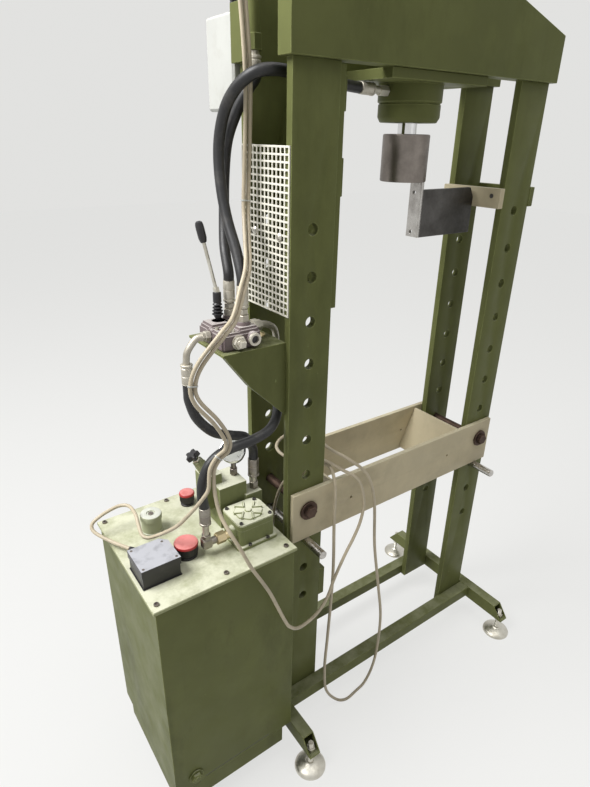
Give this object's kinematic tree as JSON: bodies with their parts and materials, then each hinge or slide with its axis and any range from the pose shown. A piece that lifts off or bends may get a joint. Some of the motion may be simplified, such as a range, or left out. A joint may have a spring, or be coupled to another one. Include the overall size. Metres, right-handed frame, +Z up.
{
  "type": "hydraulic press",
  "caption": "Workshop hydraulic press: drilled flat-bar frame, hanging cylinder with round ram head, cream bed on pins, side oil tank with pump, hoses and lever valve.",
  "frame": {"origin": "on the floor, under the middle of the box round all pieces but the free supply lead", "axes": "+Z up, +X to the right upright (away from the tank), -Y to the operator in front"},
  "size_m": [1.3635, 0.639, 2.25],
  "materials": {
    "green_paint": "semi-gloss",
    "leaf_green_paint": "semi-gloss",
    "cream_paint": "satin",
    "cream_plastic": "matt",
    "white_plastic": "satin",
    "plain_steel": "worn",
    "turned_steel": "turned",
    "chrome": "polished",
    "zinc": "zinc plated",
    "dark_steel": "dull",
    "cast_iron": "cast",
    "black_plastic": "satin",
    "red_plastic": "gloss",
    "hose_rubber": "matt",
    "beige_cable": "matt"
  },
  "bodies": {
    "frame": {"upright_front_left": "green_paint", "upright_front_right": "green_paint", "upright_rear_left": "green_paint", "upright_rear_right": "green_paint", "crosshead_front": "green_paint", "crosshead_rear": "green_paint", "cylinder_mount_plate": "green_paint", "base_rail_front": "green_paint", "base_rail_rear": "green_paint", "foot_tube_left": "green_paint", "foot_tube_right": "green_paint", "cylinder_barrel": "green_paint", "cylinder_gland": "green_paint", "inner_side_plate": "green_paint", "arm_clamp_outer": "green_paint", "tank_body": "green_paint", "tank_hanger": "green_paint", "tank_clamp_plate": "green_paint", "valve_bracket": "green_paint", "cylinder_pipe": "green_paint", "tank_lid": "leaf_green_paint", "pump_cover": "leaf_green_paint", "manifold_block": "leaf_green_paint", "bed_plate_front": "cream_paint", "bed_plate_rear": "cream_paint", "bed_end_plate_left": "cream_paint", "bed_end_plate_right": "cream_paint", "arm_clamp_inner": "cream_paint", "mesh_guard": "cream_plastic", "control_cabinet": "white_plastic", "breather_cup": "white_plastic", "bed_bolt_left": "plain_steel", "bed_bolt_right": "plain_steel", "drain_plug": "plain_steel", "pressure_gauge": "chrome", "bed_pin_left": "chrome", "bed_pin_right": "chrome", "levelling_foot_front_left": "zinc", "levelling_foot_front_right": "zinc", "levelling_foot_rear_left": "zinc", "levelling_foot_rear_right": "zinc", "arm_plate": "dark_steel", "tank_motor_pump": "dark_steel", "valve_body": "cast_iron", "terminal_box": "black_plastic", "terminal_box_lid": "black_plastic", "supply_plug": "red_plastic", "hose_gland": "hose_rubber", "hose_pipe": "hose_rubber", "hose_pressure": "hose_rubber", "hose_return": "hose_rubber", "motor_cable": "beige_cable", "supply_cord": "beige_cable"},
    "ram": {"piston_rod": "chrome", "ram_head": "turned_steel"},
    "lever": {"valve_lever": "black_plastic"},
    "relief_knob": {"relief_knob": "black_plastic"},
    "filler_cap_front": {"filler_cap_front": "red_plastic"},
    "filler_cap_rear": {"filler_cap_rear": "red_plastic"},
    "gauge_pointer": {"gauge_pointer": "black_plastic"}
  },
  "joints": [
    {"name": "ram_stroke", "type": "slide", "parent": "frame", "child": "ram", "axis": [0, 0, -1], "range_m": [0, 0.28]},
    {"name": "lever_swing", "type": "hinge", "parent": "frame", "child": "lever", "pos_m": [-0.35155, 0.0168, 1.3411], "axis": [1, 0, 0], "range_deg": [-12, 12], "stiffness_Nm_per_rad": 1.5},
    {"name": "relief_turn", "type": "hinge", "parent": "frame", "child": "relief_knob", "pos_m": [-0.40395, 0.0198, 0.9424], "axis": [-0.5138, 0.0698, 0.8551], "range_deg": [-180, 180]},
    {"name": "front_cap_turn", "type": "hinge", "parent": "frame", "child": "filler_cap_front", "pos_m": [-0.50955, -0.0692, 0.785], "axis": [0, 0, 1], "range_deg": [0, 120]},
    {"name": "rear_cap_turn", "type": "hinge", "parent": "frame", "child": "filler_cap_rear", "pos_m": [-0.41755, 0.1208, 0.785], "axis": [0, 0, 1], "range_deg": [0, 120]},
    {"name": "pointer_turn", "type": "hinge", "parent": "frame", "child": "gauge_pointer", "pos_m": [-0.32655, 0.0138, 0.976], "axis": [-0.412, -0.5273, 0.7431], "range_deg": [-270, 0]}
  ]
}
